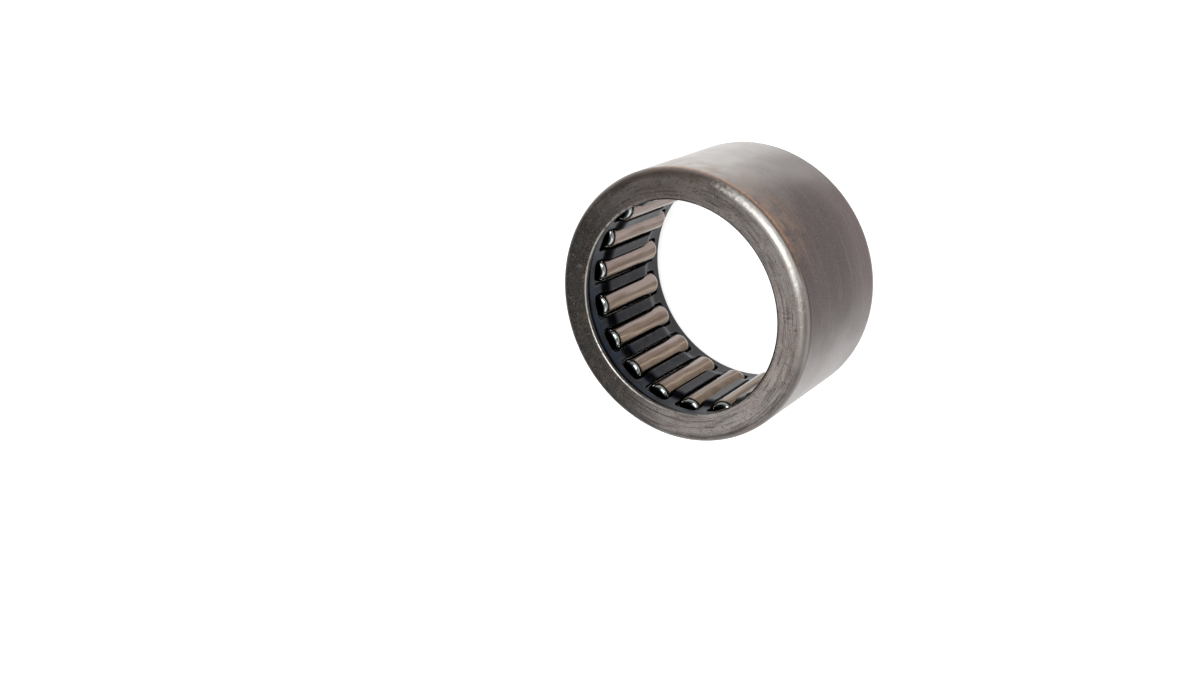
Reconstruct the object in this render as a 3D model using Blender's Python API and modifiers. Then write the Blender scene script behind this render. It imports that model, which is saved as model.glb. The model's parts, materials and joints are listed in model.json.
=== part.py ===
"""Caged needle roller bearing with a drawn outer cup, open at both ends.

The bearing stands on its lower end face, with its axis on +Z and the origin at
the centre of that face. The cup is fixed. The cage turns inside it about the
bearing's axis and carries nineteen needle rollers, each on an axis of its own.
Run it with blender --background --python part.py, or from the text editor.
"""

import math

import bmesh
import bpy
from mathutils import Matrix

MM = 0.001
COLLECTION = "needle_roller_bearing"
CUTTERS = "needle_roller_bearing_cutters"

# driving dimensions: the catalogue size and the needles that it is built on
OUTSIDE_DIAMETER = 33.338 * MM
WIDTH = 19.05 * MM
SHAFT_DIAMETER = 25.4 * MM
NEEDLE_DIAMETER = 3.175 * MM
NEEDLE_LENGTH = 12.6 * MM
NEEDLE_COUNT = 19
NEEDLE_END_RADIUS = 0.8 * MM
NEEDLE_DROP = 0.35 * MM

# the cup
RUNNING_GAP = 0.05 * MM
UPPER_LIP_BORE_RADIUS = 12.95 * MM
LOWER_LIP_BORE_RADIUS = 14.6 * MM
LIP_THICKNESS_AT_WALL = 0.8 * MM
LIP_THICKNESS_AT_BORE = 0.5 * MM
LIP_EDGE_RADIUS = 0.22 * MM
CUP_CORNER_RADIUS = 1.06 * MM
CUP_INNER_CORNER_RADIUS = 0.4 * MM

# the cage: sheet bent to an M-shaped section, with its middle nearest the shaft
SHEET = 0.55 * MM
CAGE_RIM_RADIUS = 13.55 * MM
CAGE_MIDDLE_RADIUS = 13.0 * MM
CAGE_FLANGE_RADIUS = 15.65 * MM
CAGE_BEND_RADIUS = 0.35 * MM
CAGE_END_GAP = 0.25 * MM
CAGE_MIDDLE_LENGTH = 7.8 * MM
CAGE_SLOPE_LENGTH = 1.65 * MM
POCKET_END_GAP = 0.55 * MM
POCKET_WIDTH_AT_RIM = 3.26 * MM
POCKET_WIDTH_AT_MIDDLE = 2.98 * MM
CUT_MARGIN = 0.5 * MM

# facets
RING_STEPS = 76
NEEDLE_STEPS = 20
CORNER_STEPS = 4
SMALL_CORNER_STEPS = 2
SMOOTH_ANGLE = math.radians(35)
MERGE_DISTANCE = 0.001 * MM

# worked out from the dimensions above
OUTSIDE_RADIUS = OUTSIDE_DIAMETER / 2
NEEDLE_RADIUS = NEEDLE_DIAMETER / 2
PITCH_RADIUS = (SHAFT_DIAMETER + NEEDLE_DIAMETER) / 2
RACEWAY_RADIUS = SHAFT_DIAMETER / 2 + NEEDLE_DIAMETER + RUNNING_GAP
MID_HEIGHT = WIDTH / 2


def clear_scene():
    """Remove every object that the scene holds."""
    for obj in list(bpy.data.objects):
        bpy.data.objects.remove(obj, do_unlink=True)


def make_collection(name):
    """A new collection, linked to the scene."""
    collection = bpy.data.collections.new(name)
    bpy.context.scene.collection.children.link(collection)
    return collection


def make_material(name, color, roughness, metallic):
    """A Principled material of one colour."""
    material = bpy.data.materials.new(name)
    material.use_nodes = True
    shader = material.node_tree.nodes["Principled BSDF"]
    shader.inputs["Base Color"].default_value = (*color, 1.0)
    shader.inputs["Roughness"].default_value = roughness
    shader.inputs["Metallic"].default_value = metallic
    return material


def arc(center, radius, start_degrees, end_degrees, steps):
    """Points of a circular arc in the (radius, height) plane."""
    points = []
    for step in range(steps + 1):
        angle = math.radians(start_degrees + (end_degrees - start_degrees) * step / steps)
        points.append((center[0] + radius * math.cos(angle), center[1] + radius * math.sin(angle)))
    return points


def turned_object(name, outline, closed, steps, material, collection):
    """A solid of revolution: an outline of (radius, height) points and a Screw modifier."""
    count = len(outline)
    edges = [(index, index + 1) for index in range(count - 1)]
    if closed:
        edges.append((count - 1, 0))
    mesh = bpy.data.meshes.new(name)
    mesh.from_pydata([(radius, 0, height) for radius, height in outline], edges, [])
    mesh.materials.append(material)
    obj = bpy.data.objects.new(name, mesh)
    collection.objects.link(obj)
    screw = obj.modifiers.new("turn", "SCREW")
    screw.axis = "Z"
    screw.steps = steps
    screw.render_steps = steps
    screw.use_merge_vertices = True
    screw.merge_threshold = MERGE_DISTANCE
    return obj


def bake_modifiers(obj):
    """Replace the object's mesh with its evaluated one, shaded smooth."""
    evaluated = obj.evaluated_get(bpy.context.evaluated_depsgraph_get())
    mesh = bpy.data.meshes.new_from_object(evaluated)
    mesh.name = obj.name
    obj.modifiers.clear()
    obj.data = mesh
    mesh.shade_smooth()
    mesh.set_sharp_from_angle(angle=SMOOTH_ANGLE)


def lip_outline(bore_radius):
    """One end of the cup's section, as the upper one: out under the lip, round its edge and to the outside."""
    corner = CUP_INNER_CORNER_RADIUS
    lip_root = WIDTH - LIP_THICKNESS_AT_WALL
    lip_end = WIDTH - LIP_THICKNESS_AT_BORE
    edge = LIP_EDGE_RADIUS
    inner_corner = arc((RACEWAY_RADIUS - corner, lip_root - corner), corner, 0, 90, SMALL_CORNER_STEPS)
    lower_edge = arc((bore_radius + edge, lip_end + edge), edge, 270, 180, SMALL_CORNER_STEPS)
    upper_edge = arc((bore_radius + edge, WIDTH - edge), edge, 180, 90, SMALL_CORNER_STEPS)
    outer_center = (OUTSIDE_RADIUS - CUP_CORNER_RADIUS, WIDTH - CUP_CORNER_RADIUS)
    outer_corner = arc(outer_center, CUP_CORNER_RADIUS, 90, 0, CORNER_STEPS)
    return inner_corner + lower_edge + upper_edge + outer_corner


def mirrored(outline):
    """The outline's mirror image about mid height, in the other direction."""
    return [(radius, WIDTH - height) for radius, height in reversed(outline)]


def make_cup(collection):
    """The drawn cup: a thin hardened shell with a lip turned in at each end, the lower one narrower."""
    steel = make_material("satin_steel", (0.36, 0.33, 0.31), 0.42, 1.0)
    outline = lip_outline(UPPER_LIP_BORE_RADIUS) + mirrored(lip_outline(LOWER_LIP_BORE_RADIUS))
    cup = turned_object("outer_cup", outline, True, RING_STEPS, steel, collection)
    bake_modifiers(cup)
    return cup


def cage_outline():
    """Upper half of the cage's section: up its inner side, over the flange, down its outer side."""
    top = WIDTH - LIP_THICKNESS_AT_WALL - CAGE_END_GAP
    slope_start = MID_HEIGHT + CAGE_MIDDLE_LENGTH / 2
    slope_end = slope_start + CAGE_SLOPE_LENGTH
    bend = CAGE_BEND_RADIUS
    inner_side = [(CAGE_MIDDLE_RADIUS, slope_start), (CAGE_RIM_RADIUS, slope_end)]
    bend_center = (CAGE_RIM_RADIUS + bend, top - bend)
    bent_edge = arc(bend_center, bend, 180, 90, SMALL_CORNER_STEPS)
    flange_tip = [(CAGE_FLANGE_RADIUS, top), (CAGE_FLANGE_RADIUS, top - SHEET)]
    outer_side = [
        (CAGE_RIM_RADIUS + SHEET, top - SHEET),
        (CAGE_RIM_RADIUS + SHEET, slope_end),
        (CAGE_MIDDLE_RADIUS + SHEET, slope_start),
    ]
    return inner_side + bent_edge + flange_tip + outer_side


def pocket_outline():
    """A pocket seen along the radius: narrow where the dipped bars hold the needle in."""
    end = NEEDLE_LENGTH / 2 + POCKET_END_GAP
    rim = CAGE_MIDDLE_LENGTH / 2 + CAGE_SLOPE_LENGTH
    middle = CAGE_MIDDLE_LENGTH / 2
    wide = POCKET_WIDTH_AT_RIM / 2
    narrow = POCKET_WIDTH_AT_MIDDLE / 2
    right_side = [(wide, -end), (wide, -rim), (narrow, -middle), (narrow, middle), (wide, rim), (wide, end)]
    left_side = [(-across, along) for across, along in reversed(right_side)]
    return right_side + left_side


def make_pocket_block():
    """One pocket's cutter as a mesh: its outline as a filled curve, made deep enough to cut the sheet."""
    outline = pocket_outline()
    curve = bpy.data.curves.new("pocket", "CURVE")
    curve.dimensions = "2D"
    curve.fill_mode = "BOTH"
    curve.extrude = (CAGE_FLANGE_RADIUS - CAGE_MIDDLE_RADIUS) / 2 + CUT_MARGIN
    spline = curve.splines.new("POLY")
    spline.points.add(len(outline) - 1)
    for point, (across, along) in zip(spline.points, outline):
        point.co = (across, along, 0, 1)
    spline.use_cyclic_u = True
    guide = bpy.data.objects.new("pocket", curve)
    bpy.context.scene.collection.objects.link(guide)
    evaluated = guide.evaluated_get(bpy.context.evaluated_depsgraph_get())
    mesh = bpy.data.meshes.new_from_object(evaluated)
    bpy.data.objects.remove(guide, do_unlink=True)
    return mesh


def needle_angles():
    """The angle of each needle about the bearing's axis."""
    return [2 * math.pi * index / NEEDLE_COUNT for index in range(NEEDLE_COUNT)]


def make_pocket_cutter(collection):
    """All the pockets' cutters in one object, set round the axis."""
    block = make_pocket_block()
    # the outline lies in XY: turn it so that its length is along Z and its depth along X
    upright = Matrix.Rotation(math.pi / 2, 4, "Z") @ Matrix.Rotation(math.pi / 2, 4, "X")
    middle_radius = (CAGE_FLANGE_RADIUS + CAGE_MIDDLE_RADIUS) / 2
    outward = Matrix.Translation((middle_radius, 0, MID_HEIGHT))
    shape = bmesh.new()
    for angle in needle_angles():
        place = Matrix.Rotation(angle, 4, "Z") @ outward @ upright
        copy = block.copy()
        copy.transform(place)
        shape.from_mesh(copy)
        bpy.data.meshes.remove(copy)
    bmesh.ops.remove_doubles(shape, verts=shape.verts, dist=MERGE_DISTANCE)
    bmesh.ops.recalc_face_normals(shape, faces=shape.faces)
    mesh = bpy.data.meshes.new("pocket_cutter")
    shape.to_mesh(mesh)
    shape.free()
    cutter = bpy.data.objects.new("pocket_cutter", mesh)
    cutter.hide_render = True
    cutter.display_type = "WIRE"
    collection.objects.link(cutter)
    return cutter


def make_cage(collection, cutters):
    """The cage: a bent sheet ring with one pocket for each needle."""
    blue_black = make_material("blue_black_steel", (0.03, 0.035, 0.05), 0.35, 0.9)
    half = cage_outline()
    outline = half + mirrored(half)
    cage = turned_object("cage", outline, True, RING_STEPS, blue_black, collection)
    cut = cage.modifiers.new("pockets", "BOOLEAN")
    cut.operation = "DIFFERENCE"
    cut.solver = "EXACT"
    cut.object = make_pocket_cutter(cutters)
    bake_modifiers(cage)
    return cage


def needle_outline():
    """Section of a needle, from the middle of its top end down to the middle of its bottom end."""
    half = NEEDLE_LENGTH / 2
    edge = NEEDLE_END_RADIUS
    upper = arc((NEEDLE_RADIUS - edge, half - edge), edge, 90, 0, SMALL_CORNER_STEPS)
    lower = arc((NEEDLE_RADIUS - edge, edge - half), edge, 0, -90, SMALL_CORNER_STEPS)
    return [(0, half)] + upper + lower + [(0, -half)]


def make_needles(collection):
    """The needles, each an object of its own with its origin on its own axis."""
    polished = make_material("polished_steel", (0.62, 0.59, 0.55), 0.2, 1.0)
    first = turned_object("needle_roller_01", needle_outline(), False, NEEDLE_STEPS, polished, collection)
    bake_modifiers(first)
    needles = [first]
    for number in range(2, NEEDLE_COUNT + 1):
        needle = bpy.data.objects.new(f"needle_roller_{number:02d}", first.data)
        collection.objects.link(needle)
        needles.append(needle)
    # on end, each needle sinks towards the lower end of its pocket
    height = MID_HEIGHT - NEEDLE_DROP
    for needle, angle in zip(needles, needle_angles()):
        needle.location = (PITCH_RADIUS * math.cos(angle), PITCH_RADIUS * math.sin(angle), height)
        needle.rotation_euler = (0, 0, angle)


def main():
    clear_scene()
    parts = make_collection(COLLECTION)
    cutters = make_collection(CUTTERS)
    make_cup(parts)
    make_cage(parts, cutters)
    make_needles(parts)


main()
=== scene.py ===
"""Looks of a caged needle roller bearing with a drawn outer cup.

Every CAD node is replaced by a finer mesh of the same size: the cup and the needles
are turned profiles, and the cage is a pressed sheet with rounded pockets. All pieces
keep their origin at the frame's origin, so that Object coordinates are the row frame
at rest, and the patterns stay on their pieces at every pose.
"""

import json
import math

import bmesh
import bpy
import numpy as np
from mathutils import Matrix, Quaternion, Vector


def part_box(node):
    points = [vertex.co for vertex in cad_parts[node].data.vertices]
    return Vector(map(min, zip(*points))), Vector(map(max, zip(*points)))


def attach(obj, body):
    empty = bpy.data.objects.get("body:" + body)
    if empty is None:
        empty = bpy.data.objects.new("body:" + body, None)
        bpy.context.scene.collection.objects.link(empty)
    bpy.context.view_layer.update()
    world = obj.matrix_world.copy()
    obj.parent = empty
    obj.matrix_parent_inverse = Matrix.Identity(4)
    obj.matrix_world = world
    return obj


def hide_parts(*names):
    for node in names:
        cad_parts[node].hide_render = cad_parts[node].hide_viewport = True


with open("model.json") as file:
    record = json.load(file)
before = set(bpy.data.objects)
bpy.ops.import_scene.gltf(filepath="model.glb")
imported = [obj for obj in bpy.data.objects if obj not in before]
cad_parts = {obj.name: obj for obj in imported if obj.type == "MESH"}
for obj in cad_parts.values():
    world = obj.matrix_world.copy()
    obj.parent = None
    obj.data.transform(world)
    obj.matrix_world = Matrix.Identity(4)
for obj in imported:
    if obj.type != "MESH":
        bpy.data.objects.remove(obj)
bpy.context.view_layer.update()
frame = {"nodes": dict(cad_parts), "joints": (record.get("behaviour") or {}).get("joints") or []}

MM = 0.001

# cup section
_, CUP_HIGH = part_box("outer_cup")
OUTSIDE_RADIUS = CUP_HIGH.x
WIDTH = CUP_HIGH.z
MID_HEIGHT = WIDTH / 2
RACEWAY_RADIUS = 15.925 * MM
UPPER_LIP_BORE_RADIUS = 12.95 * MM
LOWER_LIP_BORE_RADIUS = 14.6 * MM
LIP_THICKNESS_AT_WALL = 0.8 * MM
LIP_THICKNESS_AT_BORE = 0.5 * MM
LIP_EDGE_RADIUS = 0.22 * MM
CUP_CORNER_RADIUS = 1.06 * MM
CUP_INNER_CORNER_RADIUS = 0.4 * MM

# cage sheet, given along its middle surface
_, CAGE_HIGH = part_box("cage")
SHEET = 0.55 * MM
CAGE_TOP = CAGE_HIGH.z - MID_HEIGHT
CAGE_FLANGE_RADIUS = CAGE_HIGH.x
CAGE_RIM_RADIUS = 13.825 * MM
CAGE_MIDDLE_RADIUS = 13.275 * MM
CAGE_BEND_RADIUS = 0.4 * MM
CAGE_MIDDLE_HALF = 3.9 * MM
CAGE_SLOPE_LENGTH = 1.65 * MM
POCKET_HALF = 6.85 * MM
POCKET_WIDTH_AT_RIM = 3.26 * MM
POCKET_WIDTH_AT_MIDDLE = 2.98 * MM
POCKET_CORNER_RADIUS = 0.5 * MM
POCKET_MARGIN = 0.45 * MM
SHEET_EDGE_RADIUS = 0.1 * MM

# needles
NEEDLE_NODES = sorted(name for name in frame["nodes"] if name.startswith("needle_roller_"))
NEEDLE_COUNT = len(NEEDLE_NODES)
NEEDLE_LOW, NEEDLE_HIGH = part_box(NEEDLE_NODES[0])
NEEDLE_RADIUS = (NEEDLE_HIGH.x - NEEDLE_LOW.x) / 2
NEEDLE_HALF_LENGTH = (NEEDLE_HIGH.z - NEEDLE_LOW.z) / 2
NEEDLE_MIDDLE = (NEEDLE_LOW.z + NEEDLE_HIGH.z) / 2
NEEDLE_END_RADIUS = 0.8 * MM

# mesh density
RING_SEGMENTS = 480
NEEDLE_SEGMENTS = 72
CORNER_STEPS = 14
SMALL_CORNER_STEPS = 8
STRAIGHT_STEP = 0.35 * MM
PATH_POINTS = 120
POCKET_CORNER_STEPS = 8
POCKET_SIDE_STEPS = 44
POCKET_END_STEPS = 10
BAR_LAYERS = 4
EDGE_STEPS = 3
SEAM_DISTANCE = 0.002 * MM

# the sides of the cup, as angles about the axis, that its painted shade, highlights and reflections, its
# rust, a dark line and a darker bore edge are on
DARK_SIDE_ANGLE = math.radians(209)
BRIGHT_REFLECTION_ANGLE = math.radians(291)
RUST_ANGLE = math.radians(262)
LIP_SHADE_ANGLE = math.radians(18)
LIP_HIGHLIGHT_ANGLE = math.radians(122)
DARK_LINE_ANGLE = math.radians(172)
HIGHLIGHT_ANGLE = math.radians(228)
CORNER_REFLECTION_ANGLE = math.radians(191)

# where the parts of the cup's surface fade in: nothing at the first value and full at the second
OUTSIDE_FADE = (OUTSIDE_RADIUS - 0.7 * MM, OUTSIDE_RADIUS - 0.1 * MM)
FACE_DEPTH_FADE = (0.4 * MM, 0.15 * MM)
CORNER_DEPTH_FADE = (1.2 * MM, 0.4 * MM)
CORNER_RADIUS_FADE = (OUTSIDE_RADIUS - 1.3 * MM, OUTSIDE_RADIUS - 0.7 * MM)
INNER_CORNER_DEPTH_FADE = (0.6 * MM, 0.35 * MM)
DEEP_REFLECTION_HEIGHT_FADE = (2 * MM, 9 * MM)
RUST_HEIGHT_FADE = (WIDTH - 8 * MM, WIDTH - 1.5 * MM)
RACEWAY_RADIUS_FADE = (RACEWAY_RADIUS + 0.3 * MM, RACEWAY_RADIUS + 0.1 * MM)
RACEWAY_DEPTH_FADE = (0.9 * MM, 1.2 * MM)
BORE_EDGE_FADE = (UPPER_LIP_BORE_RADIUS + 0.26 * MM, UPPER_LIP_BORE_RADIUS + 0.15 * MM)
BORE_LINE_FADE = (UPPER_LIP_BORE_RADIUS + 0.05 * MM, UPPER_LIP_BORE_RADIUS)

# a faint step that the press left round the lip, and how it fades beside its radius
LIP_STEP_RADIUS = 13.95 * MM
LIP_STEP_FADE = (0.14 * MM, 0.03 * MM)

# the coppery seam and the dark line round the upper corner, as depths below the end face: start, full,
# still full, end
COPPER_SEAM_DEPTHS = (0.5 * MM, 0.85 * MM, 0.95 * MM, 1.35 * MM)
DARK_LINE_DEPTHS = (0.86 * MM, 0.98 * MM, 1.05 * MM, 1.17 * MM)

# heights that the cage's painted blue sheen and painted light fade in at
CAGE_SHEEN_FADE = (MID_HEIGHT + 1.5 * MM, MID_HEIGHT + 6 * MM)
CAGE_LIT_GREY_FADE = (MID_HEIGHT - 3 * MM, MID_HEIGHT - 6 * MM)

# the painted highlight on the rounding and the painted dark reflection on the face at a needle's end, as
# distances from the end
NEEDLE_ROUNDING_FADE = (0.62 * MM, 0.45 * MM)
NEEDLE_FACE_FADE = (0.2 * MM, 0.08 * MM)

# painted shading across each needle, by the angle about the bearing's axis from a needle's middle, in steps
# between needles
NEEDLE_BROWN_SHADE_FADE = (-0.16, -0.04)
NEEDLE_HIGHLIGHT_LINE = (0.05, 0.1, 0.11, 0.16)
NEEDLE_DARK_SHADE_FADE = (0.15, 0.26)

# the cup's colours
GREY_DARK = (0.146, 0.127, 0.121, 1)
GREY_LIGHT = (0.186, 0.164, 0.157, 1)
BROWN_CLOUD = (0.19, 0.105, 0.07, 1)
GREEN_CLOUD = (0.12, 0.125, 0.098, 1)
# the outside's darker side is a painted dark reflection, painted deeper towards the upper end
PAINTED_DARK_REFLECTION = (0.066, 0.042, 0.041, 1)
PAINTED_DEEP_DARK_REFLECTION = (0.028, 0.016, 0.016, 1)
# a painted bright reflection on another side of the outside
OUTSIDE_PAINTED_REFLECTION = (0.42, 0.4, 0.38, 1)
OUTSIDE_RUST = (0.2, 0.125, 0.08, 1)
# the lip's sides: a painted highlight, a painted shade, and a painted sheen beside the corner's painted
# highlight
LIP_PAINTED_HIGHLIGHT = (0.34, 0.31, 0.295, 1)
LIP_PAINTED_SHADE = (0.028, 0.029, 0.0255, 1)
LIP_PAINTED_SHEEN = (0.33, 0.3, 0.285, 1)
LIP_RUB_MARK = (0.05, 0.042, 0.037, 1)
LIP_ARC = (0.035, 0.028, 0.024, 1)
LIP_STEP = (0.035, 0.026, 0.026, 1)
LIP_STAIN = (0.155, 0.112, 0.083, 1)
LIP_PALE_SPOT = (0.3, 0.3, 0.27, 1)
LIP_SMUDGE = (0.03, 0.025, 0.022, 1)
LIP_NICK = (0.025, 0.02, 0.018, 1)
LIP_SPECK = (0.035, 0.03, 0.026, 1)
CORNER_BROWN = (0.105, 0.079, 0.065, 1)
# a painted reflection on one side of the corner
CORNER_PAINTED_REFLECTION = (0.36, 0.33, 0.31, 1)
# a patchy painted highlight on another side of the corner
CORNER_PAINTED_HIGHLIGHT = (0.62, 0.6, 0.57, 1)
# the bore edge: lighter where worn and partly a painted highlight, and darker on one side and in a line
BORE_EDGE_WORN_AND_HIGHLIGHT = (0.46, 0.45, 0.42, 1)
BORE_EDGE_DARK = (0.01, 0.008, 0.007, 1)
COPPER_SEAM = (0.41, 0.24, 0.155, 1)
DARK_CORNER_LINE = (0.012, 0.01, 0.009, 1)
GRAIN_LIGHT = (0.4, 0.37, 0.355, 1)
GRAIN_DARK = (0.06, 0.05, 0.048, 1)
TURNING_LINE = (0.09, 0.08, 0.075, 1)
DRAWING_LINE_DARK = (0.075, 0.064, 0.06, 1)
DRAWING_LINE_LIGHT = (0.36, 0.335, 0.32, 1)
RACEWAY_GROUND = (0.62, 0.6, 0.58, 1)

# the cage's colours
CAGE_DARK = (0.011, 0.011, 0.0135, 1)
CAGE_LIGHT = (0.023, 0.0225, 0.0265, 1)
# a painted blue sheen towards the cage's upper end
CAGE_PAINTED_BLUE_SHEEN = (0.011, 0.024, 0.043, 1)
# painted light on the cage's lower end
CAGE_PAINTED_LIT_GREY = (0.037, 0.038, 0.042, 1)
CAGE_WORN = (0.12, 0.12, 0.12, 1)

# the needles' colours
# painted shading across each needle: a lit side, a shaded middle, a painted highlight line and a painted
# shaded side
NEEDLE_LIT_PINK_GREY = (0.285, 0.228, 0.208, 1)
NEEDLE_SHADED_BROWN = (0.15, 0.105, 0.078, 1)
NEEDLE_PAINTED_HIGHLIGHT = (0.3, 0.235, 0.17, 1)
NEEDLE_PAINTED_SHADE = (0.095, 0.072, 0.046, 1)
NEEDLE_CLOUD = (0.22, 0.17, 0.145, 1)
NEEDLE_RING = (0.12, 0.09, 0.07, 1)
NEEDLE_STREAK = (0.085, 0.062, 0.045, 1)
# a painted highlight on the rounding and a painted dark reflection on the face at each needle's end
NEEDLE_ROUNDING_HIGHLIGHT = (0.7, 0.72, 0.7, 1)
NEEDLE_FACE_DARK_REFLECTION = (0.017, 0.024, 0.025, 1)

# surroundings. The steps say how strong they are at each height, as the sine of the elevation
WORLD_COLOR = (1, 0.99, 0.98, 1)
WORLD_STEPS = [(0.09, 1.1), (0.16, 0.5), (0.36, 0.42), (0.62, 0.2)]

# floor
FLOOR_HALF_SIZE = 1.5
FLOOR_DROP = 0.01 * MM
FLOOR_COLOR = (0.58, 0.58, 0.58, 1)
FLOOR_ROUGHNESS = 0.9
FLOOR_SPECULAR = 0.2
FLOOR_GLOW = 0.84

# lights: name, direction from the bearing, distance, width, length, power
LIGHTS = [
    ("key", (-0.17, -0.34, 0.92), 0.45, 0.24, 0.4, 1.5),
    ("lip_light", (0.3, 0.38, 0.875), 0.5, 0.14, 0.14, 0.18),
    ("side_light", (-0.4, 0.48, 0.78), 0.5, 0.5, 0.5, 0.65),
]

# camera: where it stands, as seen from the middle of the bearing
CAMERA_AZIMUTH = math.radians(-51.8)
CAMERA_ELEVATION = math.radians(50.96)
CAMERA_ROLL = math.radians(-116.4)
CAMERA_DISTANCE = 156.8 * MM
CAMERA_LEFT_OF_BEARING = 14.36 * MM
CAMERA_BELOW_BEARING = 5.94 * MM
CAMERA_LENS = 38.33
SENSOR_WIDTH = 36.0


# ---------------------------------------------------------------- profiles


def arc(center, radius, start_degrees, end_degrees, steps):
    """Points of a circular arc in the (radius, height) plane."""
    angles = np.radians(np.linspace(start_degrees, end_degrees, steps + 1))
    return [(center[0] + radius * math.cos(a), center[1] + radius * math.sin(a)) for a in angles]


def divided(points, longest):
    """The same outline, with every stretch longer than the given length divided evenly."""
    result = [points[0]]
    for start, end in zip(points, points[1:]):
        count = max(1, math.ceil(math.dist(start, end) / longest))
        for step in range(1, count + 1):
            share = step / count
            result.append(tuple(a + (b - a) * share for a, b in zip(start, end)))
    return result


def mirrored(outline, middle):
    """The outline turned over about a height, in the order that continues it."""
    return [(radius, 2 * middle - height) for radius, height in reversed(outline)]


def lip_outline(bore_radius):
    """The upper end of the cup's section: in under the lip, round its edge and out over the corner."""
    corner = CUP_INNER_CORNER_RADIUS
    edge = LIP_EDGE_RADIUS
    lip_root = WIDTH - LIP_THICKNESS_AT_WALL
    lip_end = WIDTH - LIP_THICKNESS_AT_BORE
    inner_corner = arc((RACEWAY_RADIUS - corner, lip_root - corner), corner, 0, 90, SMALL_CORNER_STEPS)
    lower_edge = arc((bore_radius + edge, lip_end + edge), edge, 270, 180, SMALL_CORNER_STEPS)
    upper_edge = arc((bore_radius + edge, WIDTH - edge), edge, 180, 90, SMALL_CORNER_STEPS)
    outer_center = (OUTSIDE_RADIUS - CUP_CORNER_RADIUS, WIDTH - CUP_CORNER_RADIUS)
    outer_corner = arc(outer_center, CUP_CORNER_RADIUS, 90, 0, CORNER_STEPS)
    return inner_corner + lower_edge + upper_edge + outer_corner


def cup_outline():
    """The cup's closed section: up the raceway, under and round the lip, and down the outside."""
    upper = lip_outline(UPPER_LIP_BORE_RADIUS)
    lower = mirrored(lip_outline(LOWER_LIP_BORE_RADIUS), MID_HEIGHT)
    return divided(upper + lower + upper[:1], STRAIGHT_STEP)[:-1]


def needle_outline():
    """A needle's section about its own middle, from the centre of its top end to that of its bottom end."""
    edge = NEEDLE_END_RADIUS
    corner = arc((NEEDLE_RADIUS - edge, NEEDLE_HALF_LENGTH - edge), edge, 90, 0, SMALL_CORNER_STEPS)
    upper = [(0, NEEDLE_HALF_LENGTH)] + corner
    return divided(upper + mirrored(upper, 0), STRAIGHT_STEP)


# ---------------------------------------------------------------- meshes


def smooth_object(name, mesh):
    """An object for the mesh, linked to the scene and shaded smooth."""
    mesh.shade_smooth()
    obj = bpy.data.objects.new(name, mesh)
    bpy.context.scene.collection.objects.link(obj)
    return obj


def ring_of_vertices(shape, radius, height, segments):
    """The vertices round Z at one point of an outline: a single one where the point is on Z."""
    if radius < SEAM_DISTANCE:
        return [shape.verts.new((0, 0, height))]
    angles = np.linspace(0, 2 * math.pi, segments, endpoint=False)
    return [shape.verts.new((radius * math.cos(a), radius * math.sin(a), height)) for a in angles]


def turned_mesh(name, outline, closed, segments):
    """A mesh turned about Z from (radius, height) points. An open outline starts and ends on Z."""
    shape = bmesh.new()
    rings = [ring_of_vertices(shape, radius, height, segments) for radius, height in outline]
    following = rings[1:] + rings[:1] if closed else rings[1:]
    for first, second in zip(rings, following):
        for index in range(segments):
            after = (index + 1) % segments
            corners = [first[index % len(first)], second[index % len(second)]]
            if len(second) > 1:
                corners.append(second[after])
            if len(first) > 1:
                corners.append(first[after])
            shape.faces.new(corners)
    bmesh.ops.recalc_face_normals(shape, faces=shape.faces)
    mesh = bpy.data.meshes.new(name)
    shape.to_mesh(mesh)
    shape.free()
    return mesh


def smooth_step(value):
    """0 below 0, 1 above 1, and an S-curve between."""
    value = np.clip(value, 0, 1)
    return value * value * (3 - 2 * value)


class SheetPath:
    """The cage sheet's middle surface as a path of (radius, height) points, measured along its length."""

    def __init__(self):
        upper = self.upper_half()
        points = np.array(mirrored(upper[1:], 0) + upper)
        steps = np.linalg.norm(np.diff(points, axis=0), axis=1)
        along = np.concatenate([[0], np.cumsum(steps)])
        self.along = along - along[-1] / 2
        self.points = points
        tangents = np.gradient(points, self.along, axis=0)
        self.angles = np.unwrap(np.arctan2(tangents[:, 1], tangents[:, 0]))

    @staticmethod
    def upper_half():
        """From mid height up the bar, out along the slope, up the rim and over into the flange."""
        bend_height = CAGE_TOP - SHEET / 2 - CAGE_BEND_RADIUS
        heights = np.linspace(0, bend_height, PATH_POINTS)
        rise = smooth_step((heights - CAGE_MIDDLE_HALF) / CAGE_SLOPE_LENGTH)
        radii = CAGE_MIDDLE_RADIUS + (CAGE_RIM_RADIUS - CAGE_MIDDLE_RADIUS) * rise
        bend_center = (CAGE_RIM_RADIUS + CAGE_BEND_RADIUS, bend_height)
        bend = arc(bend_center, CAGE_BEND_RADIUS, 180, 90, CORNER_STEPS)
        flange_end = CAGE_FLANGE_RADIUS - SHEET_EDGE_RADIUS
        flange = divided([bend[-1], (flange_end, CAGE_TOP - SHEET / 2)], STRAIGHT_STEP)
        return list(zip(radii, heights)) + bend[1:] + flange[1:]

    def length_at_height(self, height):
        """How far along the path a height above mid height is."""
        upper = self.points[:, 1] >= 0
        return float(np.interp(height, self.points[upper, 1], self.along[upper]))

    def place(self, angle, along, offset):
        """The point at an angle about Z and a length along the path, offset towards the shaft."""
        radius = np.interp(along, self.along, self.points[:, 0])
        height = np.interp(along, self.along, self.points[:, 1])
        tangent = np.interp(along, self.along, self.angles)
        radius = radius - offset * math.sin(tangent)
        height = height + offset * math.cos(tangent)
        return Vector((radius * math.cos(angle), radius * math.sin(angle), MID_HEIGHT + height))


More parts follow.
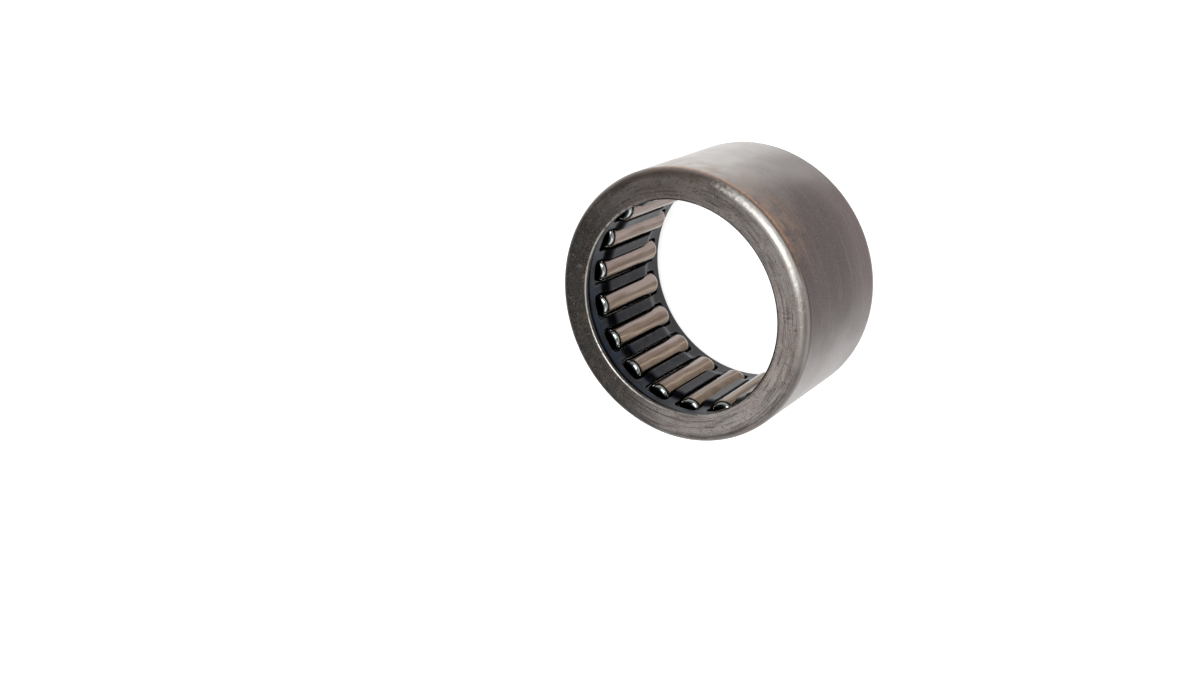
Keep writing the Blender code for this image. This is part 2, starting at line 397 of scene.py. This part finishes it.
def pocket_half_width(height):
    """Half of a pocket's width: narrow where the bars dip towards the shaft and hold the needle."""
    rise = smooth_step((abs(height) - CAGE_MIDDLE_HALF) / CAGE_SLOPE_LENGTH)
    return (POCKET_WIDTH_AT_MIDDLE + (POCKET_WIDTH_AT_RIM - POCKET_WIDTH_AT_MIDDLE) * rise) / 2


def pocket_loop(end):
    """The pocket's outline as (across, along) points, anticlockwise from its lower right side."""
    corner = POCKET_CORNER_RADIUS
    wide = POCKET_WIDTH_AT_RIM / 2
    straight = np.linspace(corner - end, end - corner, POCKET_SIDE_STEPS + 1)
    right = [(pocket_half_width(along), along) for along in straight]
    upper_right = arc((wide - corner, end - corner), corner, 0, 90, POCKET_CORNER_STEPS)[1:]
    top = [(across, end) for across in np.linspace(wide - corner, corner - wide, POCKET_END_STEPS + 1)][1:]
    upper_left = arc((corner - wide, end - corner), corner, 90, 180, POCKET_CORNER_STEPS)[1:]
    half = right + upper_right + top + upper_left
    turned = [(-across, -along) for across, along in half]
    return half + turned


def border_loop(half_angle, end):
    """The border of one pocket's share of the sheet as (angle, along) points, matched to pocket_loop."""
    corner = POCKET_CORNER_STEPS // 2
    side = np.linspace(-end, end, POCKET_SIDE_STEPS + POCKET_CORNER_STEPS + 1)
    top = np.linspace(half_angle, -half_angle, POCKET_END_STEPS + POCKET_CORNER_STEPS + 1)
    right = [(half_angle, along) for along in side[corner:]]
    over = [(angle, end) for angle in top[1:]]
    left_start = [(-half_angle, along) for along in side[::-1][1 : corner + 1]]
    half = right + over + left_start
    turned = [(-angle, -along) for angle, along in half]
    return half + turned


def edge_section():
    """The sheet's section at a cut edge: (distance from the edge, offset) points from front to back."""
    edge = SHEET_EDGE_RADIUS
    front = arc((edge, SHEET / 2 - edge), edge, 90, 180, EDGE_STEPS)
    return front + mirrored(front, 0)


class CageShare:
    """One pocket's share of the cage sheet."""

    def __init__(self):
        self.path = SheetPath()
        self.half_angle = math.pi / NEEDLE_COUNT
        self.pocket_end = self.path.length_at_height(POCKET_HALF)
        self.border_end = self.pocket_end + POCKET_MARGIN
        self.section = edge_section()
        self.shape = bmesh.new()
        self.wear = self.shape.verts.layers.float.new("edge_wear")

    def vertex(self, angle, along, offset, worn):
        """A vertex of the sheet, with how worn its surface is."""
        made = self.shape.verts.new(self.path.place(angle, along, offset))
        made[self.wear] = worn
        return made

    def join(self, first, second):
        """Faces between two rows of vertices."""
        for corners in zip(first, first[1:], second[1:], second):
            self.shape.faces.new(corners)

    def face_row(self, start, way, border_angle, radius, side):
        """One side of the sheet, from the border of the share to the pocket's rounded edge."""
        length = np.linalg.norm(way)
        row = []
        for layer in range(BAR_LAYERS):
            share = 1 - layer / BAR_LAYERS * (1 - SHEET_EDGE_RADIUS / length)
            at = start + way * share
            angle = border_angle if layer == 0 else at[0] / radius
            fade = max(0.0, 1 - share * length / POCKET_MARGIN)
            row.append(self.vertex(angle, at[1], side * SHEET / 2, fade))
        return row

    def column(self, pocket_point, border_point):
        """Vertices from the border on the front, over the cut edge and to the border on the back."""
        radius = np.interp(pocket_point[1], self.path.along, self.path.points[:, 0])
        start = np.array(pocket_point)
        way = np.array([border_point[0] * radius, border_point[1]]) - start
        front = self.face_row(start, way, border_point[0], radius, 1)
        back = self.face_row(start, way, border_point[0], radius, -1)
        unit = way / np.linalg.norm(way)
        cut = []
        for distance, offset in self.section:
            at = start + unit * distance
            cut.append(self.vertex(at[0] / radius, at[1], offset, 1.0))
        return front + cut + back[::-1]

    def add_pocket(self):
        """The sheet round the pocket."""
        points = zip(pocket_loop(self.pocket_end), border_loop(self.half_angle, self.border_end))
        columns = [self.column(pocket_point, border_point) for pocket_point, border_point in points]
        for first, second in zip(columns, columns[1:] + columns[:1]):
            self.join(first, second)

    def add_rim(self, end):
        """The plain sheet beyond the pocket at one end (1 or -1), out to the flange and round its edge."""
        steps = POCKET_END_STEPS + POCKET_CORNER_STEPS
        angles = np.linspace(self.half_angle, -self.half_angle, steps + 1)
        flange_end = self.path.along[-1]
        strip = [along for along in self.path.along if along > self.border_end + SHEET_EDGE_RADIUS]
        front = [(along, SHEET / 2) for along in [self.border_end] + strip[:-1]]
        edge = [(flange_end + SHEET_EDGE_RADIUS - distance, offset) for distance, offset in self.section]
        rows = []
        for along, offset in front + edge + mirrored(front, 0):
            rows.append([self.vertex(angle, end * along, offset, 0.0) for angle in angles])
        for first, second in zip(rows, rows[1:]):
            self.join(first, second)


def cage_mesh():
    """The pressed sheet cage: one pocket's share, repeated round the axis."""
    share = CageShare()
    share.add_pocket()
    share.add_rim(1)
    share.add_rim(-1)
    one = bpy.data.meshes.new("cage_share")
    share.shape.to_mesh(one)
    share.shape.free()
    whole = bmesh.new()
    for index in range(NEEDLE_COUNT):
        copy = one.copy()
        copy.transform(Matrix.Rotation(2 * math.pi * index / NEEDLE_COUNT, 4, "Z"))
        whole.from_mesh(copy)
        bpy.data.meshes.remove(copy)
    bpy.data.meshes.remove(one)
    bmesh.ops.remove_doubles(whole, verts=whole.verts, dist=SEAM_DISTANCE)
    bmesh.ops.recalc_face_normals(whole, faces=whole.faces)
    mesh = bpy.data.meshes.new("cage")
    whole.to_mesh(mesh)
    whole.free()
    return mesh


# ---------------------------------------------------------------- materials


class Surface:
    """One metal's node tree. Feature sizes are given in metres."""

    def __init__(self, name):
        self.material = bpy.data.materials.new(name)
        self.material.use_nodes = True
        self.tree = self.material.node_tree
        self.shader = self.tree.nodes["Principled BSDF"]
        self.position = self.node("ShaderNodeTexCoord").outputs["Object"]
        self.x, self.y, self.z = self.node("ShaderNodeSeparateXYZ", self.position).outputs
        squares = [self.math("MULTIPLY", value, value) for value in (self.x, self.y)]
        self.radius = self.math("SQRT", self.math("ADD", *squares))

    def node(self, kind, *values, **settings):
        """A node with its settings, and its first inputs linked or set."""
        made = self.tree.nodes.new(kind)
        for key, value in settings.items():
            setattr(made, key, value)
        for socket, value in zip(made.inputs, values):
            self.feed(socket, value)
        return made

    def feed(self, socket, value):
        """Link a socket to the input, or set the input's own value."""
        if isinstance(value, bpy.types.NodeSocket):
            self.tree.links.new(value, socket)
        else:
            socket.default_value = value

    def math(self, operation, *values):
        """A number worked out from one or two others."""
        return self.node("ShaderNodeMath", *values, operation=operation).outputs[0]

    def between(self, value, low, high):
        """0 where the value is at low, 1 where it is at high, smooth between. Low may be the larger."""
        made = self.node("ShaderNodeMapRange", value, interpolation_type="SMOOTHSTEP")
        self.feed(made.inputs["From Min"], low)
        self.feed(made.inputs["From Max"], high)
        return made.outputs[0]

    def scaled(self, vector, x, y, z):
        """The vector with each axis divided by a feature size."""
        sizes = (1 / x, 1 / y, 1 / z)
        return self.node("ShaderNodeVectorMath", vector, sizes, operation="MULTIPLY").outputs[0]

    def noise(self, vector, detail=3.0, roughness=0.55, distortion=0.0):
        """Noise from 0 to 1 over a vector that is already divided by the feature size."""
        made = self.node("ShaderNodeTexNoise")
        self.feed(made.inputs["Vector"], vector)
        made.inputs["Scale"].default_value = 1.0
        made.inputs["Detail"].default_value = detail
        made.inputs["Roughness"].default_value = roughness
        made.inputs["Distortion"].default_value = distortion
        return made.outputs[0]

    def polar(self, across, around):
        """Coordinates for marks that run round the axis: their width along the radius, and their length."""
        radial = self.math("MULTIPLY", self.radius, 1 / across)
        round_x = self.math("MULTIPLY", self.x, 1 / around)
        round_y = self.math("MULTIPLY", self.y, 1 / around)
        return self.node("ShaderNodeCombineXYZ", radial, round_x, round_y).outputs[0]

    def toward(self, angle):
        """1 on the side of the axis that the angle points to, -1 on the far side."""
        along_x = self.math("MULTIPLY", self.x, math.cos(angle))
        along_y = self.math("MULTIPLY", self.y, math.sin(angle))
        return self.math("DIVIDE", self.math("ADD", along_x, along_y), self.radius)

    def side(self, angle, low, high):
        """A mask of the side that the angle points to. Low and high are cosines of the angle from it."""
        return self.between(self.toward(angle), low, high)

    def mottle(self, size, detail=3.0, roughness=0.55, distortion=0.0):
        """Noise of one size in all directions."""
        return self.noise(self.scaled(self.position, size, size, size), detail, roughness, distortion)

    def patches(self, size, low, high, detail=3.0, roughness=0.55, distortion=0.0):
        """A mask of patches of about one size, where mottling passes from low to high."""
        return self.between(self.mottle(size, detail, roughness, distortion), low, high)

    def wander(self, noise, width):
        """Noise from 0 to 1 as a wander of a width about zero."""
        return self.math("MULTIPLY", self.math("SUBTRACT", noise, 0.5), width)

    def away(self, value, middle):
        """How far a number is from another."""
        return self.math("ABSOLUTE", self.math("SUBTRACT", value, middle))

    def inverse(self, mask):
        """1 where the mask is 0, and 0 where it is 1."""
        return self.math("SUBTRACT", 1.0, mask)

    def band(self, value, start, full_start, full_end, end):
        """A mask that is 1 between the two middle values, and 0 before the first and after the last."""
        return self.both(self.between(value, start, full_start), self.between(value, end, full_end))

    def mix(self, share, first, second):
        """A colour between two others."""
        made = self.node("ShaderNodeMix", data_type="RGBA")
        self.feed(made.inputs[0], share)
        self.feed(made.inputs[6], first)
        self.feed(made.inputs[7], second)
        return made.outputs[2]

    def tint(self, color, share, other, strength):
        """The colour mixed with another where the share is 1, up to the strength."""
        return self.mix(self.math("MULTIPLY", share, strength), color, other)

    def marked(self, color, marks):
        """The colour under several marks, each with a mask, a colour and a strength."""
        for mask, mark, strength in marks:
            color = self.tint(color, mask, mark, strength)
        return color

    def both(self, first, *others):
        """The product of several masks: 1 where all of them are."""
        for other in others:
            first = self.math("MULTIPLY", first, other)
        return first

    def bump(self, height, distance, normal=None):
        """A bumped normal. The distance is the depth of a height of 1."""
        made = self.node("ShaderNodeBump")
        made.inputs["Strength"].default_value = 1.0
        made.inputs["Distance"].default_value = distance
        self.feed(made.inputs["Height"], height)
        if normal is not None:
            self.feed(made.inputs["Normal"], normal)
        return made.outputs[0]

    def weighted(self, total, *parts):
        """A number plus several masks or noises, each times its weight."""
        for value, weight in parts:
            total = self.math("ADD", total, self.math("MULTIPLY", value, weight))
        return total

    def finish(self, color, roughness, normal):
        """Wire the shader, and return its material."""
        self.feed(self.shader.inputs["Base Color"], color)
        self.feed(self.shader.inputs["Roughness"], roughness)
        self.feed(self.shader.inputs["Normal"], normal)
        self.shader.inputs["Metallic"].default_value = 1.0
        return self.material


class CupRegions:
    """Where the parts of the cup's surface are: the depth below the nearer end face, and masks."""

    def __init__(self, steel):
        self.depth = steel.math("SUBTRACT", MID_HEIGHT, steel.away(steel.z, MID_HEIGHT))
        self.outside = steel.between(steel.radius, *OUTSIDE_FADE)
        self.face = steel.between(self.depth, *FACE_DEPTH_FADE)
        corner_depth = steel.between(self.depth, *CORNER_DEPTH_FADE)
        self.corner = steel.both(corner_depth, steel.between(steel.radius, *CORNER_RADIUS_FADE))
        raceway_depth = steel.between(self.depth, *RACEWAY_DEPTH_FADE)
        self.raceway = steel.both(steel.between(steel.radius, *RACEWAY_RADIUS_FADE), raceway_depth)


class FineStructure:
    """The cup's finest patterns: grain, lines left by turning and by drawing, and nicks on the lip."""

    def __init__(self, steel):
        self.grain = steel.mottle(0.17 * MM)
        self.turning = steel.noise(steel.polar(0.14 * MM, 9 * MM))
        self.drawing = steel.noise(steel.scaled(steel.position, 14 * MM, 14 * MM, 0.13 * MM), detail=4.0)
        nicks = steel.patches(0.3 * MM, 0.6, 0.68, detail=2.0, roughness=0.6, distortion=1.2)
        self.nicks = steel.both(nicks, steel.patches(2.6 * MM, 0.5, 0.62, detail=2.0))


def clouded_color(steel, cloud, coarse):
    """The cup's ground colour: two greys, with brown and green clouds."""
    color = steel.mix(cloud, GREY_DARK, GREY_LIGHT)
    brown = steel.patches(2.4 * MM, 0.5, 0.72, detail=4.0, roughness=0.62, distortion=0.6)
    green = steel.patches(1.5 * MM, 0.52, 0.72, roughness=0.6, distortion=0.4)
    color = steel.tint(color, steel.both(brown, coarse), BROWN_CLOUD, 0.4)
    return steel.tint(color, steel.both(green, coarse), GREEN_CLOUD, 0.4)


def outside_color(steel, color, outside):
    """The outside: a darker mauve side that is a painted dark reflection, a lighter side that is a painted
    bright reflection, and rust near the upper corner.
    """
    drift = steel.wander(steel.mottle(9 * MM, roughness=0.6), 0.4)
    # painted dark reflection on one side of the outside, deeper towards the upper end
    dark = steel.between(steel.math("ADD", steel.toward(DARK_SIDE_ANGLE), drift), 0.69, 1.0)
    color = steel.tint(color, steel.both(dark, outside), PAINTED_DARK_REFLECTION, 0.85)
    upper = steel.between(steel.z, *DEEP_REFLECTION_HEIGHT_FADE)
    color = steel.tint(color, steel.both(dark, outside, upper), PAINTED_DEEP_DARK_REFLECTION, 0.6)
    # painted bright reflection on another side of the outside
    bright_reflection = steel.between(steel.math("ADD", steel.toward(BRIGHT_REFLECTION_ANGLE), drift), 0.72, 1.02)
    color = steel.tint(color, steel.both(bright_reflection, outside), OUTSIDE_PAINTED_REFLECTION, 0.78)
    rust = steel.patches(1.8 * MM, 0.36, 0.62, detail=4.0, roughness=0.65, distortion=0.5)
    rusty_side = steel.side(RUST_ANGLE, 0.5, 0.92)
    shallow = steel.between(steel.z, *RUST_HEIGHT_FADE)
    return steel.tint(color, steel.both(rust, rusty_side, shallow, outside), OUTSIDE_RUST, 0.6)


def lip_color(steel, color, face, nicks):
    """The lip: a painted highlight, painted shade and painted sheen on its sides, then fine arcs, a step,
    stains and nicks over them.
    """
    step = steel.between(steel.away(steel.radius, LIP_STEP_RADIUS), *LIP_STEP_FADE)
    stain = steel.patches(1.4 * MM, 0.48, 0.66, detail=4.0, roughness=0.65, distortion=0.8)
    pale = steel.patches(0.8 * MM, 0.56, 0.68, detail=4.0, roughness=0.7, distortion=0.8)
    smudge = steel.patches(0.7 * MM, 0.6, 0.68, detail=4.0, roughness=0.7, distortion=2.0)
    rub = steel.between(steel.noise(steel.polar(0.5 * MM, 4 * MM)), 0.5, 0.64)
    arcs = steel.between(steel.noise(steel.polar(0.12 * MM, 8 * MM), detail=2.0), 0.55, 0.63)
    marks = [
        # the first three marks paint a highlight, shade and sheen on sides of the lip
        (steel.side(LIP_HIGHLIGHT_ANGLE, 0.45, 0.9), LIP_PAINTED_HIGHLIGHT, 0.55),
        (steel.side(LIP_SHADE_ANGLE, 0.28, 0.78), LIP_PAINTED_SHADE, 0.82),
        (steel.side(HIGHLIGHT_ANGLE, 0.6, 0.95), LIP_PAINTED_SHEEN, 0.35),
        (rub, LIP_RUB_MARK, 0.5),
        (arcs, LIP_ARC, 0.55),
        (steel.both(step, steel.patches(3 * MM, 0.4, 0.55)), LIP_STEP, 0.6),
        (stain, LIP_STAIN, 0.38),
        (pale, LIP_PALE_SPOT, 0.35),
        (smudge, LIP_SMUDGE, 0.6),
        (nicks, LIP_NICK, 0.55),
    ]
    return steel.marked(color, [(steel.both(mask, face), mark, strength) for mask, mark, strength in marks])


def fine_color(steel, color, regions, fine, coarse):
    """Grain all over, lines left by turning, lines left by drawing on the outside and specks on the lip."""
    dark_lines = steel.between(fine.drawing, 0.5, 0.8)
    light_lines = steel.between(fine.drawing, 0.5, 0.25)
    speck = steel.patches(0.42 * MM, 0.69, 0.75, detail=1.0)
    marks = [
        (steel.both(steel.between(fine.grain, 0.45, 0.75), coarse), GRAIN_LIGHT, 0.28),
        (steel.both(steel.between(fine.grain, 0.5, 0.25), coarse), GRAIN_DARK, 0.4),
        (steel.between(fine.turning, 0.55, 0.8), TURNING_LINE, 0.35),
        (steel.both(speck, regions.face), LIP_SPECK, 0.6),
        (steel.both(dark_lines, regions.outside), DRAWING_LINE_DARK, 0.22),
        (steel.both(light_lines, regions.outside), DRAWING_LINE_LIGHT, 0.13),
    ]
    return steel.marked(color, marks)


def corner_color(steel, color, regions):
    """The corner between the lip and the outside: brown on one side, a painted reflection on another and a
    patchy painted highlight on a third.
    """
    brown_side = steel.side(RUST_ANGLE, 0.3, 0.8)
    color = steel.tint(color, steel.both(regions.corner, brown_side), CORNER_BROWN, 0.6)
    # painted reflection on one side of the corner
    pale_side = steel.side(CORNER_REFLECTION_ANGLE, 0.91, 0.985)
    color = steel.tint(color, steel.both(regions.corner, pale_side), CORNER_PAINTED_REFLECTION, 0.62)
    # patchy painted highlight on another side of the corner
    speckle = steel.wander(steel.mottle(0.45 * MM, detail=4.0, roughness=0.7), 0.3)
    highlight_patches = steel.between(steel.math("ADD", steel.toward(HIGHLIGHT_ANGLE), speckle), 0.82, 0.99)
    inner = steel.between(regions.depth, *INNER_CORNER_DEPTH_FADE)
    return steel.tint(color, steel.both(regions.corner, highlight_patches, inner), CORNER_PAINTED_HIGHLIGHT, 0.8)


def bore_edge_color(steel, color):
    """The upper lip's bore edge: lighter where worn and partly a painted highlight, and darker on one side
    and in a line where it turns down.
    """
    line = steel.between(steel.radius, *BORE_LINE_FADE)
    # darker on one side and in a line where the edge turns down; the lighter rest is partly a painted
    # highlight
    darker_part = steel.math("MAXIMUM", steel.side(DARK_SIDE_ANGLE, -0.15, 0.2), line)
    edge = steel.mix(darker_part, BORE_EDGE_WORN_AND_HIGHLIGHT, BORE_EDGE_DARK)
    broken = steel.patches(0.8 * MM, 0.25, 0.5)
    return steel.tint(color, steel.both(steel.between(steel.radius, *BORE_EDGE_FADE), broken), edge, 0.85)


def corner_line_color(steel, color, regions):
    """Lines where the upper corner meets the outside: a coppery seam on one side and a dark line on
    another.
    """
    upper = steel.between(steel.z, 0, MID_HEIGHT)
    copper = steel.both(steel.band(regions.depth, *COPPER_SEAM_DEPTHS), regions.outside, upper)
    patchy = steel.patches(0.7 * MM, 0.3, 0.6, detail=4.0, roughness=0.7)
    copper_side = steel.side(RUST_ANGLE, 0.55, 0.93)
    color = steel.tint(color, steel.both(copper, patchy, copper_side), COPPER_SEAM, 0.52)
    dark = steel.both(steel.band(regions.depth, *DARK_LINE_DEPTHS), regions.outside, upper)
    return steel.tint(color, steel.both(dark, steel.side(DARK_LINE_ANGLE, 0.6, 0.95)), DARK_CORNER_LINE, 0.8)


def cup_normal(steel, regions, fine):
    """Bumps: grain and lines except in the raceway, pits in the corner and nicks in the lip."""
    uneven = steel.inverse(regions.raceway)
    pits = steel.patches(0.35 * MM, 0.35, 0.7, roughness=0.6)
    normal = steel.bump(steel.both(fine.grain, uneven), 0.006 * MM)
    normal = steel.bump(steel.both(pits, regions.corner), 0.012 * MM, normal)
    normal = steel.bump(steel.both(fine.drawing, uneven), 0.003 * MM, normal)
    normal = steel.bump(steel.both(fine.turning, uneven), 0.004 * MM, normal)
    return steel.bump(steel.both(fine.nicks, regions.face), -0.015 * MM, normal)


def cup_steel():
    """Satin hardened steel: mottled grey, rub marks along the lip, worn edges, and painted shade,
    highlights and reflections on its sides.
    """
    steel = Surface("cup_steel")
    regions = CupRegions(steel)
    fine = FineStructure(steel)
    cloud = steel.patches(3.5 * MM, 0.33, 0.68, detail=5.0, roughness=0.62)
    coarse = steel.inverse(steel.math("MULTIPLY", regions.outside, 0.55))
    color = clouded_color(steel, cloud, coarse)
    color = outside_color(steel, color, regions.outside)
    color = lip_color(steel, color, regions.face, fine.nicks)
    color = fine_color(steel, color, regions, fine, coarse)
    color = corner_color(steel, color, regions)
    color = bore_edge_color(steel, color)
    color = corner_line_color(steel, color, regions)
    color = steel.tint(color, regions.raceway, RACEWAY_GROUND, 0.85)
    places = [(regions.corner, 0.12), (regions.raceway, 0.2)]
    rough = steel.weighted(0.25, (cloud, 0.08), (fine.grain, 0.1), *places)
    return steel.finish(color, rough, cup_normal(steel, regions, fine))


def cage_steel():
    """Blue-black treated sheet, half gloss, worn lighter along the punched edges of the pockets, with a
    painted blue sheen towards its upper end and painted light on its lower end.
    """
    steel = Surface("cage_steel")
    cloud = steel.patches(2.2 * MM, 0.35, 0.65, detail=4.0)
    color = steel.mix(cloud, CAGE_DARK, CAGE_LIGHT)
    blue = steel.patches(1.5 * MM, 0.42, 0.62, roughness=0.6, distortion=0.5)
    # painted blue sheen towards the upper end
    color = steel.tint(color, steel.both(blue, steel.between(steel.z, *CAGE_SHEEN_FADE)), CAGE_PAINTED_BLUE_SHEEN, 0.65)
    # painted light on the lower end
    color = steel.tint(color, steel.between(steel.z, *CAGE_LIT_GREY_FADE), CAGE_PAINTED_LIT_GREY, 0.5)
    edge = steel.node("ShaderNodeAttribute", attribute_name="edge_wear").outputs["Fac"]
    color = steel.tint(color, steel.both(edge, steel.patches(0.5 * MM, 0.4, 0.75)), CAGE_WORN, 0.35)
    grain = steel.mottle(0.12 * MM)
    rough = steel.weighted(0.24, (cloud, 0.08), (grain, 0.1))
    return steel.finish(color, rough, steel.bump(grain, 0.003 * MM))


def painted_needle_shading(steel):
    """Painted shading along each needle: a lit pinkish grey side, a shaded brown middle, a painted
    highlight line and a painted shaded side.
    """
    angle = steel.math("ARCTAN2", steel.y, steel.x)
    turns = steel.math("MULTIPLY", angle, NEEDLE_COUNT / (2 * math.pi))
    across = steel.math("SUBTRACT", steel.math("FRACT", steel.math("ADD", turns, 0.5)), 0.5)
    wavy = steel.noise(steel.scaled(steel.position, 1.5 * MM, 1.5 * MM, 7 * MM), detail=2.0)
    across = steel.math("ADD", across, steel.wander(wavy, 0.35))
    # painted shading across the needle: lit side, shaded middle, painted highlight line and painted shaded
    # side
    color = steel.mix(steel.between(across, *NEEDLE_BROWN_SHADE_FADE), NEEDLE_LIT_PINK_GREY, NEEDLE_SHADED_BROWN)
    color = steel.tint(color, steel.band(across, *NEEDLE_HIGHLIGHT_LINE), NEEDLE_PAINTED_HIGHLIGHT, 0.8)
    return steel.tint(color, steel.between(across, *NEEDLE_DARK_SHADE_FADE), NEEDLE_PAINTED_SHADE, 0.85)


def needle_steel():
    """Ground bearing steel: fine rings and streaks, painted shading across each needle, a painted highlight
    on the rounding and a painted dark reflection on the face at each end.
    """
    steel = Surface("needle_steel")
    cloud = steel.patches(1.6 * MM, 0.35, 0.65)
    color = steel.tint(painted_needle_shading(steel), cloud, NEEDLE_CLOUD, 0.3)
    rings = steel.noise(steel.scaled(steel.position, 3 * MM, 3 * MM, 0.05 * MM), detail=2.0)
    streak = steel.noise(steel.scaled(steel.position, 0.3 * MM, 0.3 * MM, 14 * MM), detail=2.0)
    color = steel.tint(color, steel.between(rings, 0.5, 0.8), NEEDLE_RING, 0.3)
    color = steel.tint(color, steel.between(streak, 0.52, 0.68), NEEDLE_STREAK, 0.6)
    to_end = steel.math("SUBTRACT", NEEDLE_HALF_LENGTH, steel.away(steel.z, NEEDLE_MIDDLE))
    # painted highlight on the rounding and painted dark reflection on the end face
    color = steel.tint(color, steel.between(to_end, *NEEDLE_ROUNDING_FADE), NEEDLE_ROUNDING_HIGHLIGHT, 1.0)
    color = steel.tint(color, steel.between(to_end, *NEEDLE_FACE_FADE), NEEDLE_FACE_DARK_REFLECTION, 1.0)
    rough = steel.weighted(0.09, (rings, 0.06), (cloud, 0.04))
    return steel.finish(color, rough, steel.bump(rings, 0.0007 * MM))


# ---------------------------------------------------------------- pieces


def make_cup(material):
    """The outer cup."""
    mesh = turned_mesh("cup_shell", cup_outline(), True, RING_SEGMENTS)
    mesh.materials.append(material)
    cup = smooth_object("cup_shell", mesh)
    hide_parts("outer_cup")
    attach(cup, "cup")


def make_cage(material):
    """The cage."""
    mesh = cage_mesh()
    mesh.materials.append(material)
    cage = smooth_object("cage_sheet", mesh)
    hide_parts("cage")
    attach(cage, "cage")


def make_needles(material):
    """The needles, each on the axis of its own joint."""
    axes = {joint["child"]: Vector(joint["pos_m"]) for joint in frame["joints"]}
    outline = needle_outline()
    for number, node in enumerate(NEEDLE_NODES, start=1):
        body = f"needle_{number:02d}"
        low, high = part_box(node)
        mesh = turned_mesh(f"needle_{number:02d}_ground", outline, False, NEEDLE_SEGMENTS)
        mesh.transform(Matrix.Translation((axes[body].x, axes[body].y, (low.z + high.z) / 2)))
        mesh.materials.append(material)
        needle = smooth_object(mesh.name, mesh)
        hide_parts(node)
        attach(needle, body)


# ---------------------------------------------------------------- stage


def make_floor():
    """A plain pale floor under the bearing, which glows so that it looks as white as the surroundings."""
    mesh = bpy.data.meshes.new("floor")
    shape = bmesh.new()
    bmesh.ops.create_grid(shape, x_segments=1, y_segments=1, size=FLOOR_HALF_SIZE)
    shape.to_mesh(mesh)
    shape.free()
    floor = bpy.data.objects.new("floor", mesh)
    floor.location.z = -FLOOR_DROP
    bpy.context.scene.collection.objects.link(floor)
    material = bpy.data.materials.new("floor")
    material.use_nodes = True
    shader = material.node_tree.nodes["Principled BSDF"]
    shader.inputs["Base Color"].default_value = FLOOR_COLOR
    shader.inputs["Roughness"].default_value = FLOOR_ROUGHNESS
    shader.inputs["Specular IOR Level"].default_value = FLOOR_SPECULAR
    shader.inputs["Emission Color"].default_value = (1, 1, 1, 1)
    shader.inputs["Emission Strength"].default_value = FLOOR_GLOW
    mesh.materials.append(material)


def make_world():
    """White surroundings, bright near the horizon and dimmer overhead."""
    world = bpy.data.worlds.new("studio")
    world.use_nodes = True
    nodes = world.node_tree.nodes
    links = world.node_tree.links
    background = nodes["Background"]
    background.inputs["Color"].default_value = WORLD_COLOR
    split = nodes.new("ShaderNodeSeparateXYZ")
    ramp = nodes.new("ShaderNodeValToRGB")
    ramp.color_ramp.interpolation = "EASE"
    steps = [(height, (strength, strength, strength, 1)) for height, strength in WORLD_STEPS]
    first, last = ramp.color_ramp.elements
    first.position, first.color = steps[0]
    last.position, last.color = steps[-1]
    for height, grey in steps[1:-1]:
        ramp.color_ramp.elements.new(height).color = grey
    links.new(nodes.new("ShaderNodeTexCoord").outputs["Generated"], split.inputs[0])
    links.new(split.outputs["Z"], ramp.inputs["Fac"])
    links.new(ramp.outputs["Color"], background.inputs["Strength"])
    bpy.context.scene.world = world


def make_light(name, direction, distance, width, length, power):
    """A soft light aimed at the middle of the bearing, with its length towards the zenith."""
    light = bpy.data.lights.new(name, "AREA")
    light.shape = "RECTANGLE"
    light.size = width
    light.size_y = length
    light.energy = power
    obj = bpy.data.objects.new(name, light)
    toward = Vector(direction).normalized()
    obj.location = Vector((0, 0, MID_HEIGHT)) + toward * distance
    obj.rotation_mode = "QUATERNION"
    obj.rotation_quaternion = toward.to_track_quat("Z", "Y")
    obj.visible_camera = False
    bpy.context.scene.collection.objects.link(obj)


def make_lights():
    """The three soft lights."""
    for light in LIGHTS:
        make_light(*light)


def make_camera():
    """A camera above and to one side, rolled so that the bearing seems to lie on its side."""
    across = math.cos(CAMERA_ELEVATION)
    back_x = math.sin(CAMERA_AZIMUTH) * across
    back_y = -math.cos(CAMERA_AZIMUTH) * across
    back = Vector((back_x, back_y, math.sin(CAMERA_ELEVATION)))
    turn = (-back).to_track_quat("-Z", "Y") @ Quaternion((0, 0, 1), CAMERA_ROLL)
    camera = bpy.data.cameras.new("camera")
    camera.lens = CAMERA_LENS
    camera.sensor_width = SENSOR_WIDTH
    camera.clip_start = 1 * MM
    obj = bpy.data.objects.new("camera", camera)
    offset = Vector((-CAMERA_LEFT_OF_BEARING, -CAMERA_BELOW_BEARING, CAMERA_DISTANCE))
    obj.rotation_mode = "QUATERNION"
    obj.rotation_quaternion = turn
    obj.location = Vector((0, 0, MID_HEIGHT)) + turn @ offset
    bpy.context.scene.collection.objects.link(obj)
    bpy.context.scene.camera = obj


make_cup(cup_steel())
make_cage(cage_steel())
make_needles(needle_steel())
make_floor()
make_world()
make_lights()
make_camera()
bpy.context.scene.view_settings.view_transform = "Standard"
